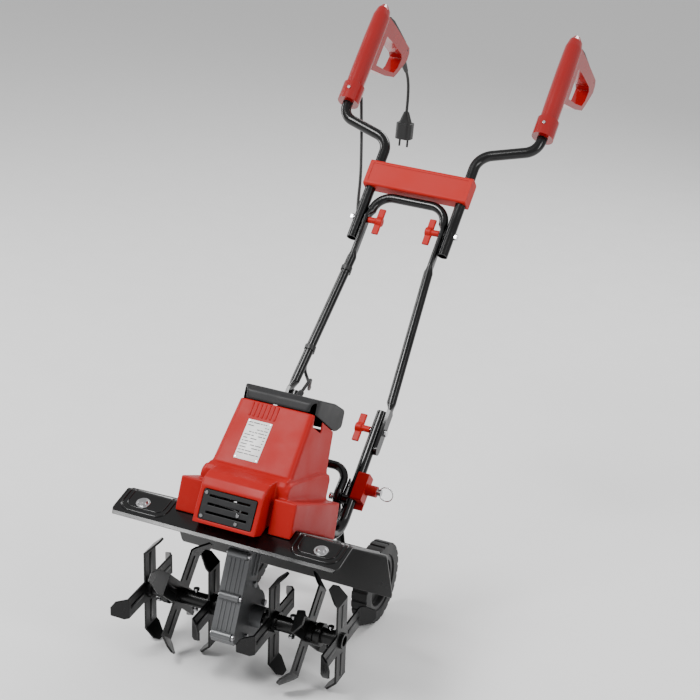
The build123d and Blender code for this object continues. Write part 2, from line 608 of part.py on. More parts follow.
WHEEL_INNER = WHEEL_X - WHEEL_WIDTH / 2
WHEEL_OUTER = WHEEL_X + WHEEL_WIDTH / 2
with BuildPart() as wheel_axle:
    rod(-WHEEL_OUTER + 4, WHEEL_OUTER - 4, WHEEL_Y, WHEEL_RADIUS, AXLE_RADIUS)
    for side in (-1, 1):
        rod(side * (WHEEL_INNER - 8), side * (WHEEL_INNER - 1.5), WHEEL_Y, WHEEL_RADIUS, 10)
        rod(side * (WHEEL_OUTER - 6.5), side * (WHEEL_OUTER - 3.5), WHEEL_Y, WHEEL_RADIUS, 9)
save(wheel_axle, "wheel_axle")

TREAD_LUGS = 24
for side, name in ((-1, "left"), (1, "right")):
    with BuildPart() as tyre:
        ring_along_x(side * WHEEL_INNER, side * WHEEL_OUTER, WHEEL_Y, WHEEL_RADIUS, WHEEL_RADIUS, 58)
        with BuildSketch(Plane(origin=(side * (WHEEL_INNER - 1), WHEEL_Y, WHEEL_RADIUS), x_dir=(0, 1, 0),
                               z_dir=(1, 0, 0))):
            with PolarLocations(WHEEL_RADIUS, TREAD_LUGS, start_angle=-90 + 180 / TREAD_LUGS):
                Rectangle(6, 5)
        extrude(amount=side * (WHEEL_WIDTH + 2), mode=Mode.SUBTRACT)
    save(tyre, f"tyre_{name}")

    with BuildPart() as rim:
        ring_along_x(side * (WHEEL_INNER + 3), side * (WHEEL_OUTER - 3), WHEEL_Y, WHEEL_RADIUS, 57.9, 48)
        ring_along_x(side * (WHEEL_INNER + 12), side * (WHEEL_INNER + 17), WHEEL_Y, WHEEL_RADIUS, 50, 12)
        ring_along_x(side * WHEEL_INNER, side * (WHEEL_OUTER - 8), WHEEL_Y, WHEEL_RADIUS, 14,
                     AXLE_RADIUS + RUNNING)
    save(rim, f"wheel_rim_{name}")

# ================================================================ middle frame
LEG_FOOT_X = 107.8
LEG_LOW = (62.0, 104.2)
LEG_HIGH = (352.0, 84.0)
FLAT_THICKNESS = 7.0
DIMPLE_FROM = 369.0
DIMPLE_TO = 448.0
DIMPLE_X = 83.5
ARCH_X = 78.6
ARCH_START = 462.0
ARCH_CORNER = 500.0
ARCH_RADIUS = 38.0

with BuildPart() as middle_frame:
    for side in (-1, 1):
        # flattened foot beside the lower tube
        with BuildSketch(handle_plane(False, side * (LEG_FOOT_X - FLAT_THICKNESS / 2))):
            with Locations((-2, 0)):
                SlotOverall(92, 24)
            with Locations((25, 0)):
                Rectangle(40, 24)
        extrude(amount=side * FLAT_THICKNESS)
        with BuildSketch(handle_section(False, 45, 0, side * LEG_FOOT_X)):
            RectangleRounded(FLAT_THICKNESS, 24, 3)
        with BuildSketch(handle_section(False, LEG_LOW[0], 0, side * LEG_LOW[1])):
            Circle(MIDDLE_TUBE_RADIUS)
        loft()
        # hollow leg
        for radius, mode in ((MIDDLE_TUBE_RADIUS, Mode.ADD), (MIDDLE_TUBE_RADIUS - TUBE_WALL, Mode.SUBTRACT)):
            with BuildSketch(handle_section(False, LEG_LOW[0], 0, side * LEG_LOW[1])):
                Circle(radius)
            with BuildSketch(handle_section(False, LEG_HIGH[0], 0, side * LEG_HIGH[1])):
                Circle(radius)
            loft(mode=mode)
        # flattened stretch beside the upper tube
        with BuildSketch(handle_section(False, LEG_HIGH[0], 0, side * LEG_HIGH[1])):
            Circle(MIDDLE_TUBE_RADIUS)
        with BuildSketch(handle_section(False, DIMPLE_FROM, 0, side * DIMPLE_X)):
            RectangleRounded(9, 24, 4)
        loft()
        with BuildSketch(handle_section(False, DIMPLE_FROM, 0, side * DIMPLE_X)):
            RectangleRounded(9, 24, 4)
        extrude(amount=DIMPLE_TO - DIMPLE_FROM)
        with BuildSketch(handle_section(False, DIMPLE_TO, 0, side * DIMPLE_X)):
            RectangleRounded(9, 24, 4)
        with BuildSketch(handle_section(False, ARCH_START, 0, side * ARCH_X)):
            Circle(MIDDLE_TUBE_RADIUS)
        loft()
    swept_tube([on_handle(False, ARCH_START, 0, -ARCH_X), on_handle(False, ARCH_CORNER, 0, -ARCH_X),
                on_handle(False, ARCH_CORNER, 0, ARCH_X), on_handle(False, ARCH_START, 0, ARCH_X)],
               [ARCH_RADIUS - 0.2, ARCH_RADIUS - 0.2], MIDDLE_TUBE_RADIUS, TUBE_WALL)
    for y, z in ((LOWER_PIVOT_Y, LOWER_PIVOT_Z), (UPPER_PIVOT_Y, UPPER_PIVOT_Z)):
        rod(-115, 115, y, z, BOLT_RADIUS + RUNNING, Mode.SUBTRACT)
save(middle_frame, "middle_frame")

HEAD_X = 111.8
KNOB_OUTER = LOWER_TUBE_X - LOWER_TUBE_RADIUS - GAP
UPPER_KNOB_OUTER = DIMPLE_X - 4.5 - GAP
with BuildPart() as pivot_bolts:
    for y, z, inner in ((LOWER_PIVOT_Y, LOWER_PIVOT_Z, KNOB_OUTER - 18),
                        (UPPER_PIVOT_Y, UPPER_PIVOT_Z, UPPER_KNOB_OUTER - 18)):
        for side in (-1, 1):
            rod(side * inner, side * (HEAD_X + 4), y, z, BOLT_RADIUS)
            with BuildSketch(Plane(origin=(side * HEAD_X, y, z), x_dir=(0, 1, 0), z_dir=(1, 0, 0))):
                RegularPolygon(7.2, 6)
            extrude(amount=side * 5)
save(pivot_bolts, "pivot_bolts")

for level, y, z, outer in (("lower", LOWER_PIVOT_Y, LOWER_PIVOT_Z, KNOB_OUTER),
                           ("upper", UPPER_PIVOT_Y, UPPER_PIVOT_Z, UPPER_KNOB_OUTER)):
    for side, name in ((-1, "left"), (1, "right")):
        with BuildPart() as wing_knob:
            rod(side * (outer - 30), side * outer, y, z, 6.6)
            rod(side * (outer - 31), side * (outer - 18), y, z, 9.2)
            with BuildSketch(handle_section(level == "upper", -29, 0, side * (outer - 23))):
                RectangleRounded(15, 6, 2.5)
            extrude(amount=58)
            rod(side * (outer - 18.5), side * (outer + 1), y, z, BOLT_RADIUS + RUNNING, Mode.SUBTRACT)
        save(wing_knob, f"wing_knob_{level}_{name}")

# ================================================================ upper frame
TUBE_FOOT = -47.0
BEND_LOW = 188.0
BEND_HIGH = 226.0
TUBE_IN_GRIP = 328.0
for side, name in ((-1, "left"), (1, "right")):
    with BuildPart() as upper_tube:
        swept_tube([on_handle(True, TUBE_FOOT, 0, side * UPPER_TUBE_X),
                    on_handle(True, BEND_LOW, 0, side * UPPER_TUBE_X),
                    on_handle(True, BEND_HIGH, 0, side * GRIP_X),
                    on_handle(True, TUBE_IN_GRIP, 0, side * GRIP_X)],
                   [40, 35], UPPER_TUBE_RADIUS, TUBE_WALL)
        rod(side * 80, side * 120, UPPER_PIVOT_Y, UPPER_PIVOT_Z, BOLT_RADIUS + RUNNING, Mode.SUBTRACT)
    save(upper_tube, f"upper_tube_{name}")

BAR_LOW = 72.0
BAR_HIGH = 130.0
BAR_HALF = 113.0
with BuildPart() as crossbar:
    with BuildSketch(handle_plane(True, -BAR_HALF)):
        with Locations(((BAR_LOW + BAR_HIGH) / 2, 1)):
            RectangleRounded(BAR_HIGH - BAR_LOW, 34, 5)
    extrude(amount=2 * BAR_HALF)
    # shallow panel in the front face and an open back between the tubes
    prism(handle_plane(True, -BAR_HALF + 8), [(BAR_LOW + 8, 17), (BAR_HIGH - 8, 17), (BAR_HIGH - 8, 20),
                                              (BAR_LOW + 8, 20)], 2 * BAR_HALF - 16, Mode.SUBTRACT)
    prism(handle_plane(True, -84), [(BAR_LOW + 4, -20), (BAR_HIGH - 4, -20), (BAR_HIGH - 4, 13),
                                    (BAR_LOW + 4, 13)], 168, Mode.SUBTRACT)
    for side in (-1, 1):
        with BuildSketch(handle_section(True, BAR_LOW - 5, 0, side * UPPER_TUBE_X)):
            Circle(UPPER_TUBE_RADIUS + 0.1)
        extrude(amount=BAR_HIGH - BAR_LOW + 10, mode=Mode.SUBTRACT)
save(crossbar, "crossbar")

# ---------------------------------------------------------------- D-shaped grips
COLLAR_LOW = 258.0
COLLAR_HIGH = 300.0
POST_TOP = 505.0
LOOP_HALF = 15.0
LEVER_PIVOT = (503.0, -166.0)
LEVER_HALF = 8.0
POST_SECTIONS = ((COLLAR_HIGH - 2, 18.5, 23), (340, 19, 23.5), (420, 19, 23.5), (476, 18, 22), (494, 14, 18),
                 (POST_TOP, 7, 10))
LOOP_OUTLINE = ((352, -10), (392, -98), (420, -148), (440, -160), (488, -184), (505, -181), (513, -172), (508, -140),
                (496, -60), (484, 0))
LOOP_OPENING = ((378, -34), (402, -92), (424, -136), (444, -148), (472, -152), (476, -140), (462, -70), (452, -34))
LEVER_OUTLINE = ((506, -168), (519, -158), (514, -110), (508, -58), (500, -31), (470, -29), (470, -42), (486, -56),
                 (494, -110), (499, -160))
for side, name in ((-1, "left"), (1, "right")):
    x = side * GRIP_X
    with BuildPart() as grip:
        with BuildSketch(handle_section(True, COLLAR_LOW, 0, x)):
            Ellipse(23, 25)
        extrude(amount=COLLAR_HIGH - COLLAR_LOW)
        for u, half_x, half_v in POST_SECTIONS:
            with BuildSketch(handle_section(True, u, 0, x)):
                Ellipse(half_x, half_v)
        loft(ruled=True)
        prism(handle_plane(True, x - LOOP_HALF), LOOP_OUTLINE, 2 * LOOP_HALF)
        prism(handle_plane(True, x - LOOP_HALF - 10), LOOP_OPENING, 2 * LOOP_HALF + 20, Mode.SUBTRACT)
        # slot for the switch lever along the top of the hand rest
        slot = ((525, -174), (498, -174), (489, -160), (475, -60), (455, -46), (455, -26), (525, -26))
        prism(handle_plane(True, x - LEVER_HALF - GAP), slot, 2 * LEVER_HALF + 2 * GAP, Mode.SUBTRACT)
        # socket for the tube
        with BuildSketch(handle_section(True, COLLAR_LOW - 1, 0, x)):
            Circle(UPPER_TUBE_RADIUS + 0.1)
        extrude(amount=TUBE_IN_GRIP - COLLAR_LOW + 2, mode=Mode.SUBTRACT)
        pivot = on_handle(True, *LEVER_PIVOT, x)
        rod(x - LOOP_HALF - 1, x + LOOP_HALF + 1, pivot.Y, pivot.Z, 2.5, Mode.SUBTRACT)
        if name == "left":
            # button pocket under the post and the cord outlet at the back of the hand rest
            with BuildSketch(Plane(origin=on_handle(True, 345, -15, x), z_dir=(0, rise_sin, -rise_cos))):
                Circle(6)
            extrude(amount=20, mode=Mode.SUBTRACT)
    save(grip, f"grip_{name}")

    with BuildPart() as switch_lever:
        prism(handle_plane(True, x - LEVER_HALF), LEVER_OUTLINE, 2 * LEVER_HALF)
        rod(x - LOOP_HALF, x + LOOP_HALF, pivot.Y, pivot.Z, 2.5 - RUNNING)
    save(switch_lever, f"switch_lever_{name}")

with BuildPart() as lock_off_button:
    with BuildSketch(Plane(origin=on_handle(True, 345, -22.2, -GRIP_X), z_dir=(0, rise_sin, -rise_cos))):
        Circle(5.7)
    extrude(amount=9)
save(lock_off_button, "lock_off_button")

with BuildPart() as upper_screws:
    for side in (-1, 1):
        with BuildSketch(Plane(origin=on_handle(True, 282, 25.1, side * GRIP_X), z_dir=(0, -rise_sin, rise_cos))):
            Circle(3.4)
        extrude(amount=2.2)
save(upper_screws, "upper_screws")

# ================================================================ supply cable from switch to motor
CABLE_RADIUS = 3.25
CABLE_BEHIND_LEG = -14.8
CLIP_RUNS = (324.0, 138.0)


def leg_x(u):
    """Distance of the middle frame's leg from the middle plane at u."""
    return LEG_LOW[1] + (u - LEG_LOW[0]) * (LEG_HIGH[1] - LEG_LOW[1]) / (LEG_HIGH[0] - LEG_LOW[0])


def behind_leg(u):
    """Centre of the supply cable where it lies against the left leg."""
    return on_handle(False, u, CABLE_BEHIND_LEG, -leg_x(u))


ABOVE_FOLD = on_handle(True, 40, -17, -121)
BELOW_FOLD = on_handle(True, -36, -18, -97)
CABLE_MEETING = ABOVE_FOLD + (BELOW_FOLD - ABOVE_FOLD) * 0.51
BETWEEN_CLIPS = on_handle(False, 214, CABLE_BEHIND_LEG - 1, -leg_x(214))
CLIP_END = behind_leg(128)
SLEEVE_END = SLEEVE_ROOT + SLEEVE_AXIS * SLEEVE_LENGTH
UPPER_CABLE = (on_handle(True, 292, -30, -206), on_handle(True, 262, -37, -197), on_handle(True, 205, -36, -176),
               on_handle(True, 110, -28, -142), ABOVE_FOLD, CABLE_MEETING)
MIDDLE_CABLE = (CABLE_MEETING, BELOW_FOLD, on_handle(True, -76, -17.5, -87), behind_leg(340), BETWEEN_CLIPS, CLIP_END)
LOWER_CABLE = (CLIP_END, CLIP_END + (CLIP_END - BETWEEN_CLIPS).normalized() * 30, on_handle(False, 64, -16, -76),
               world(-52, 340, 436), SLEEVE_END + SLEEVE_AXIS * 44, SLEEVE_END)

for name, points in (("upper", UPPER_CABLE), ("middle", MIDDLE_CABLE), ("lower", LOWER_CABLE)):
    with BuildPart() as supply_cable:
        radii = route_radii([tuple(p) for p in points])
        print(name, "supply cable radii", [round(r) for r in radii])
        swept_tube(points, radii, CABLE_RADIUS)
    save(supply_cable, f"supply_cable_{name}")

with BuildPart() as cable_clips:
    for u in CLIP_RUNS:
        with BuildSketch(handle_section(False, u - 5, 0, -leg_x(u))):
            Circle(MIDDLE_TUBE_RADIUS + 2)
            with Locations((0, -CABLE_BEHIND_LEG)):
                Circle(CABLE_RADIUS + 2.8)
            Circle(MIDDLE_TUBE_RADIUS + 0.5, mode=Mode.SUBTRACT)
            with Locations((0, -CABLE_BEHIND_LEG)):
                Circle(CABLE_RADIUS + 1.0, mode=Mode.SUBTRACT)
        extrude(amount=10)
save(cable_clips, "cable_clips")

# ================================================================ mains lead from the left grip
LEAD_RADIUS = 3.25
RELIEF_ROOT = on_handle(True, 486, -183.4, -GRIP_X + 5)
RELIEF_END = world(-212, 1130, 927)
with BuildPart() as strain_relief:
    relief_axis = (RELIEF_END - RELIEF_ROOT).normalized()
    relief_plane = Plane(origin=RELIEF_ROOT + relief_axis * 2, z_dir=relief_axis)
    relief_length = (RELIEF_END - RELIEF_ROOT).length - 2
    with BuildSketch(relief_plane):
        Circle(7.5)
    with BuildSketch(relief_plane.offset(relief_length)):
        Circle(4.8)
    loft()
save(strain_relief, "strain_relief")

LEAD_ROUTE = (RELIEF_END, RELIEF_END + relief_axis * 24, world(-210, 1155, 868), world(-210, 1155, 829))
with BuildPart() as mains_lead:
    radii = route_radii([tuple(p) for p in LEAD_ROUTE])
    print("mains lead radii", [round(r) for r in radii])
    swept_tube(LEAD_ROUTE, radii, LEAD_RADIUS)
save(mains_lead, "mains_lead")

PLUG_TOP = LEAD_ROUTE[-1]
PLUG_LENGTH = 62.0
PIN_LENGTH = 19.0
with BuildPart() as mains_plug:
    with BuildSketch(Plane(origin=PLUG_TOP, z_dir=(0, 0, -1))):
        Circle(6)
    with BuildSketch(Plane(origin=PLUG_TOP - Vector(0, 0, 26), z_dir=(0, 0, -1))):
        RectangleRounded(30, 20, 8)
    loft()
    with BuildSketch(Plane(origin=PLUG_TOP - Vector(0, 0, 26), z_dir=(0, 0, -1))):
        RectangleRounded(38, 34, 12)
    extrude(amount=PLUG_LENGTH - 26)
    for dx in (-9.5, 9.5):
        with BuildSketch(Plane(origin=PLUG_TOP + Vector(dx, 0, -PLUG_LENGTH + 1), z_dir=(0, 0, -1))):
            Circle(2.4)
        extrude(amount=PIN_LENGTH + 1)
save(mains_plug, "mains_plug")
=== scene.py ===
import json
import math
import random

import bmesh
import bpy
from mathutils import Matrix, Vector

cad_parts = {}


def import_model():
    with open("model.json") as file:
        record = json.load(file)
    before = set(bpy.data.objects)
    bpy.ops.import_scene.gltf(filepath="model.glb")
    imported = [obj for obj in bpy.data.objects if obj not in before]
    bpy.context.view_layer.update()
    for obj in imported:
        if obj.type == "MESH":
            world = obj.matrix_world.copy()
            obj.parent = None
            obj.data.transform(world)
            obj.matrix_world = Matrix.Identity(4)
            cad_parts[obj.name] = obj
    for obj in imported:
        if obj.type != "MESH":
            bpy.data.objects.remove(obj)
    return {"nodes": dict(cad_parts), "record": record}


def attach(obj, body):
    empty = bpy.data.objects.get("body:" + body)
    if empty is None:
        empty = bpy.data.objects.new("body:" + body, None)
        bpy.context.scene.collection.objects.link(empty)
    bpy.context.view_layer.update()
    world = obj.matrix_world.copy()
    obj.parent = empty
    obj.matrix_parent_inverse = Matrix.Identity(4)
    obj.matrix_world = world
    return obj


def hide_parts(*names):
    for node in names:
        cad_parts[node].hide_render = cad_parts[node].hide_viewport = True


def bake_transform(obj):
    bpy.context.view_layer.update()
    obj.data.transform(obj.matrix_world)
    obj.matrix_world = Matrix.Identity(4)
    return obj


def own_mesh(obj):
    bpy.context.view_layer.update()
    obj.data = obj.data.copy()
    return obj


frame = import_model()
random.seed(7)


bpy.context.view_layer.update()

# ---------------------------------------------------------------- frames, in metres
AXIS_Y = -0.4918          # tine axis
AXIS_Z = 0.110
LEAN = math.radians(17.7)
RISE = math.radians(48.6)
LOWER_PIVOT = Vector((0, AXIS_Y + 0.351, 0.381))
UPPER_PIVOT = LOWER_PIVOT + 0.4414 * Vector((0, math.cos(RISE), math.sin(RISE)))
ALONG = Vector((0, math.cos(RISE), math.sin(RISE)))
FRONT = Vector((0, -math.sin(RISE), math.cos(RISE)))
BACKWARD = Vector((0, math.cos(LEAN), -math.sin(LEAN)))
COLUMN = Vector((0, math.sin(LEAN), math.cos(LEAN)))
AXIS = Vector((0, AXIS_Y, AXIS_Z))


def machine(x, y, z):
    """Point in the leaning machine frame, in millimetres."""
    return AXIS + Vector((x, 0, 0)) / 1000 + BACKWARD * y / 1000 + COLUMN * z / 1000


def on_handle(upper, u, v, x):
    """Point u along the handle and v in front of it, in millimetres."""
    pivot = UPPER_PIVOT if upper else LOWER_PIVOT
    return pivot + ALONG * u / 1000 + FRONT * v / 1000 + Vector((x / 1000, 0, 0))


def world(x, y, z):
    """Point measured back from the tine axis and up from the ground, in millimetres."""
    return Vector((x / 1000, AXIS_Y + y / 1000, z / 1000))


# ---------------------------------------------------------------- materials
def finish_of(name, color, rough, metallic=0.0, grain=900.0, grain_depth=0.05, mottle=0.06, coat=0.0, dirt=0.0,
              stretch=(1, 1, 1), shine=0.5):
    """Procedural surface: fine grain in the bump, uneven roughness, faint mottling and dust in the colour."""
    mat = bpy.data.materials.new(name)
    mat.use_nodes = True
    nodes, links = mat.node_tree.nodes, mat.node_tree.links
    shader = nodes["Principled BSDF"]
    shader.inputs["Metallic"].default_value = metallic
    shader.inputs["Specular IOR Level"].default_value = shine
    shader.inputs["Coat Weight"].default_value = coat
    shader.inputs["Coat Roughness"].default_value = 0.12
    coords = nodes.new("ShaderNodeTexCoord")
    mapping = nodes.new("ShaderNodeMapping")
    mapping.inputs["Scale"].default_value = stretch
    links.new(coords.outputs["Object"], mapping.inputs["Vector"])

    fine = nodes.new("ShaderNodeTexNoise")
    fine.inputs["Scale"].default_value = grain
    fine.inputs["Detail"].default_value = 3
    links.new(mapping.outputs["Vector"], fine.inputs["Vector"])
    broad = nodes.new("ShaderNodeTexNoise")
    broad.inputs["Scale"].default_value = 14
    broad.inputs["Detail"].default_value = 6
    links.new(mapping.outputs["Vector"], broad.inputs["Vector"])

    # roughness follows the broad noise
    spread = nodes.new("ShaderNodeMapRange")
    spread.inputs["From Min"].default_value = 0.3
    spread.inputs["From Max"].default_value = 0.7
    spread.inputs["To Min"].default_value = max(0.04, rough - 0.07)
    spread.inputs["To Max"].default_value = min(1.0, rough + 0.09)
    links.new(broad.outputs["Fac"], spread.inputs["Value"])
    links.new(spread.outputs["Result"], shader.inputs["Roughness"])

    # colour: base, darker mottles, dust where the broad noise peaks
    shade = nodes.new("ShaderNodeMix")
    shade.data_type = "RGBA"
    shade.inputs[6].default_value = [c * (1 - mottle) for c in color] + [1]
    shade.inputs[7].default_value = [min(1, c * (1 + mottle)) for c in color] + [1]
    links.new(broad.outputs["Fac"], shade.inputs[0])
    dust = nodes.new("ShaderNodeMix")
    dust.data_type = "RGBA"
    dust.inputs[7].default_value = (0.34, 0.29, 0.23, 1)
    links.new(shade.outputs[2], dust.inputs[6])
    specks = nodes.new("ShaderNodeTexNoise")
    specks.inputs["Scale"].default_value = 55
    specks.inputs["Detail"].default_value = 8
    links.new(coords.outputs["Object"], specks.inputs["Vector"])
    amount = nodes.new("ShaderNodeMapRange")
    amount.inputs["From Min"].default_value = 0.58
    amount.inputs["From Max"].default_value = 0.8
    amount.inputs["To Min"].default_value = 0
    amount.inputs["To Max"].default_value = dirt
    links.new(specks.outputs["Fac"], amount.inputs["Value"])
    links.new(amount.outputs["Result"], dust.inputs[0])
    links.new(dust.outputs[2], shader.inputs["Base Color"])

    bump = nodes.new("ShaderNodeBump")
    bump.inputs["Strength"].default_value = grain_depth
    bump.inputs["Distance"].default_value = 0.0006
    links.new(fine.outputs["Fac"], bump.inputs["Height"])
    links.new(bump.outputs["Normal"], shader.inputs["Normal"])
    return mat


RED_SHELL = finish_of("red_shell", (0.36, 0.0065, 0.005), 0.46, grain=1500, grain_depth=0.10, mottle=0.05, dirt=0.03,
                      shine=0.18)
RED_GRIP = finish_of("red_grip", (0.27, 0.002, 0.002), 0.20, grain=500, grain_depth=0.03, mottle=0.06, coat=0.35)
ORANGE = finish_of("orange_red", (0.42, 0.010, 0.006), 0.46, grain=1200, grain_depth=0.12, mottle=0.05,
                   shine=0.2)
DARK = finish_of("dark_plastic", (0.011, 0.011, 0.012), 0.5, grain=1300, grain_depth=0.22, mottle=0.15, dirt=0.03,
                 shine=0.35)
BLACK = finish_of("black_plastic", (0.004, 0.004, 0.0042), 0.42, grain=1100, grain_depth=0.15, mottle=0.12)
PAINT = finish_of("black_paint", (0.0016, 0.0016, 0.0018), 0.19, grain=260, grain_depth=0.05, mottle=0.2, dirt=0.01,
                  shine=0.4)
TINE = finish_of("tine_black", (0.0018, 0.0018, 0.002), 0.30, grain=420, grain_depth=0.14, mottle=0.25, dirt=0.02,
                 shine=0.32)
CAST = finish_of("gear_case", (0.13, 0.133, 0.137), 0.42, metallic=0.7, grain=650, grain_depth=0.45, mottle=0.16,
                 dirt=0.05)
ZINC = finish_of("steel", (0.42, 0.42, 0.43), 0.3, metallic=1.0, grain=700, grain_depth=0.10, mottle=0.1)
CHROME = finish_of("bright", (0.72, 0.72, 0.73), 0.13, metallic=1.0, grain=900, grain_depth=0.03, mottle=0.04)
BRASS = finish_of("brass", (0.66, 0.46, 0.18), 0.3, metallic=1.0, grain=600, grain_depth=0.12, mottle=0.1)
COPPER = finish_of("copper_pack", (0.22, 0.11, 0.06), 0.45, metallic=0.4, grain=300, grain_depth=0.3, mottle=0.2,
                   stretch=(1, 1, 6))
RUBBER = finish_of("rubber", (0.004, 0.004, 0.0042), 0.5, grain=900, grain_depth=0.12, mottle=0.15)
TYRE = finish_of("tyre", (0.005, 0.005, 0.0052), 0.6, grain=500, grain_depth=0.3, mottle=0.2, dirt=0.06)
LABEL = finish_of("label_white", (0.80, 0.80, 0.79), 0.35, grain=800, grain_depth=0.04, mottle=0.03)
INK = finish_of("label_ink", (0.05, 0.05, 0.055), 0.5, grain=800, grain_depth=0.04, mottle=0.05)

MATERIALS = {"red_shell": RED_SHELL, "red_grip": RED_GRIP, "orange_red": ORANGE, "dark_plastic": DARK,
             "black_plastic": BLACK, "black_paint": PAINT, "tine_black": TINE, "gear_case": CAST, "steel": ZINC,
             "bright": CHROME, "brass": BRASS, "copper_pack": COPPER, "rubber": RUBBER, "tyre": TYRE}
SLOT_OF = {part["node"]: part["material_slot"] for part in frame["record"]["subparts"]}
BODY_OF = {node: body for body, nodes in frame["record"]["behaviour"]["bodies"].items() for node in nodes}

for name, node in frame["nodes"].items():
    node.data.materials.clear()
    node.data.materials.append(MATERIALS[SLOT_OF[name]])


# ---------------------------------------------------------------- helpers for pieces
def baked(obj):
    """The object with its modifiers applied, as a plain mesh object."""
    graph = bpy.context.evaluated_depsgraph_get()
    mesh = bpy.data.meshes.new_from_object(obj.evaluated_get(graph))
    name = obj.name
    old = obj.data
    obj.name = name + "_old"
    result = bpy.data.objects.new(name, mesh)
    bpy.context.scene.collection.objects.link(result)
    bpy.data.objects.remove(obj)
    if isinstance(old, bpy.types.Mesh):
        bpy.data.meshes.remove(old)
    else:
        bpy.data.curves.remove(old)
    return result


def copy_of(node, name):
    """A welded copy of a CAD node's mesh with its flat faces joined up."""
    obj = bpy.data.objects.new(name, frame["nodes"][node].data.copy())
    bpy.context.scene.collection.objects.link(obj)
    work = bmesh.new()
    work.from_mesh(obj.data)
    bmesh.ops.remove_doubles(work, verts=work.verts, dist=2e-6)
    bmesh.ops.dissolve_limit(work, angle_limit=math.radians(0.6), verts=work.verts, edges=work.edges)
    bmesh.ops.recalc_face_normals(work, faces=work.faces)
    work.to_mesh(obj.data)
    work.free()
    return obj


def stand_for(obj, node):
    """The piece rides with the node's body and is shown in its place."""
    obj.data.materials.clear()
    obj.data.materials.append(MATERIALS[SLOT_OF[node]])
    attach(obj, BODY_OF[node])
    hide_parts(node)
    return obj


def shade(obj, angle=40):
    obj.data.polygons.foreach_set("use_smooth", [True] * len(obj.data.polygons))
    obj.data.set_sharp_from_angle(angle=math.radians(angle))


def rounded(node, width, segments=3, angle=32):
    """Copy of a node with its sharp edges rounded off."""
    obj = copy_of(node, node + "_piece")
    bevel = obj.modifiers.new("bevel", "BEVEL")
    bevel.width = width
    bevel.segments = segments
    bevel.limit_method = "ANGLE"
    bevel.angle_limit = math.radians(angle)
    bevel.use_clamp_overlap = True
    bevel.harden_normals = False
    weights = obj.modifiers.new("weights", "WEIGHTED_NORMAL")
    weights.keep_sharp = False
    obj.data.polygons.foreach_set("use_smooth", [True] * len(obj.data.polygons))
    obj = baked(obj)
    return stand_for(obj, node)


def softened(node, voxel, passes, keep=0.4):
    """Copy of a node as a moulded body, with every edge blended."""
    obj = copy_of(node, node + "_piece")
    remesh = obj.modifiers.new("remesh", "REMESH")
    remesh.mode = "VOXEL"
    remesh.voxel_size = voxel
    smooth = obj.modifiers.new("smooth", "SMOOTH")
    smooth.factor = 0.5
    smooth.iterations = passes
    thin = obj.modifiers.new("thin", "DECIMATE")
    thin.ratio = keep
    obj = baked(obj)
    obj.data.polygons.foreach_set("use_smooth", [True] * len(obj.data.polygons))
    return stand_for(obj, node)


def from_bmesh(name, work, body, material, angle=40):
    mesh = bpy.data.meshes.new(name)
    bmesh.ops.recalc_face_normals(work, faces=work.faces)
    work.to_mesh(mesh)
    work.free()
    obj = bpy.data.objects.new(name, mesh)
    bpy.context.scene.collection.objects.link(obj)
    mesh.materials.append(material)
    shade(obj, angle)
    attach(obj, body)
    return obj


def tube_curve(name, points, radius, cyclic=False, kind="NURBS"):
    """Round line along route points."""
    curve = bpy.data.curves.new(name, "CURVE")
    curve.dimensions = "3D"
    curve.bevel_depth = radius
    curve.bevel_resolution = 5
    curve.resolution_u = 10
    curve.use_fill_caps = True
    spline = curve.splines.new(kind)
    spline.points.add(len(points) - 1)
    for slot_point, place in zip(spline.points, points):
        slot_point.co = (*place, 1)
    if kind == "NURBS":
        spline.order_u = 3
        spline.use_endpoint_u = True
    spline.use_cyclic_u = cyclic
    obj = bpy.data.objects.new(name, curve)
    bpy.context.scene.collection.objects.link(obj)
    return obj


def tube_piece(name, points, radius, body, material, cyclic=False, kind="NURBS"):
    obj = baked(tube_curve(name, points, radius, cyclic, kind=kind))
    obj.data.materials.clear()
    obj.data.materials.append(material)
    obj.data.polygons.foreach_set("use_smooth", [True] * len(obj.data.polygons))
    if body:
        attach(obj, body)
    return obj


def add_box(work, centre, ax, ay, az, size, bevel=0.0):
    """Box with its own axes and rounded edges, added to a bmesh."""
    made = bmesh.ops.create_cube(work, size=1)
    turn = Matrix((ax, ay, az)).transposed().to_4x4()
    place = Matrix.Translation(centre) @ turn @ Matrix.Diagonal((*size, 1))
    bmesh.ops.transform(work, matrix=place, verts=made["verts"])
    if bevel:
        edges = {e for v in made["verts"] for e in v.link_edges}
        bmesh.ops.bevel(work, geom=list(edges), offset=bevel, segments=2, affect="EDGES", profile=0.5)


def add_disc(work, centre, normal, radius, height, segments=32, taper=0.85):
    """Low domed disc standing on a surface."""
    turn = normal.to_track_quat("Z", "Y").to_matrix().to_4x4()
    made = bmesh.ops.create_cone(work, cap_ends=True, segments=segments, radius1=radius, radius2=radius * taper,
                                 depth=height)
    bmesh.ops.transform(work, matrix=Matrix.Translation(centre + normal * height / 2) @ turn, verts=made["verts"])


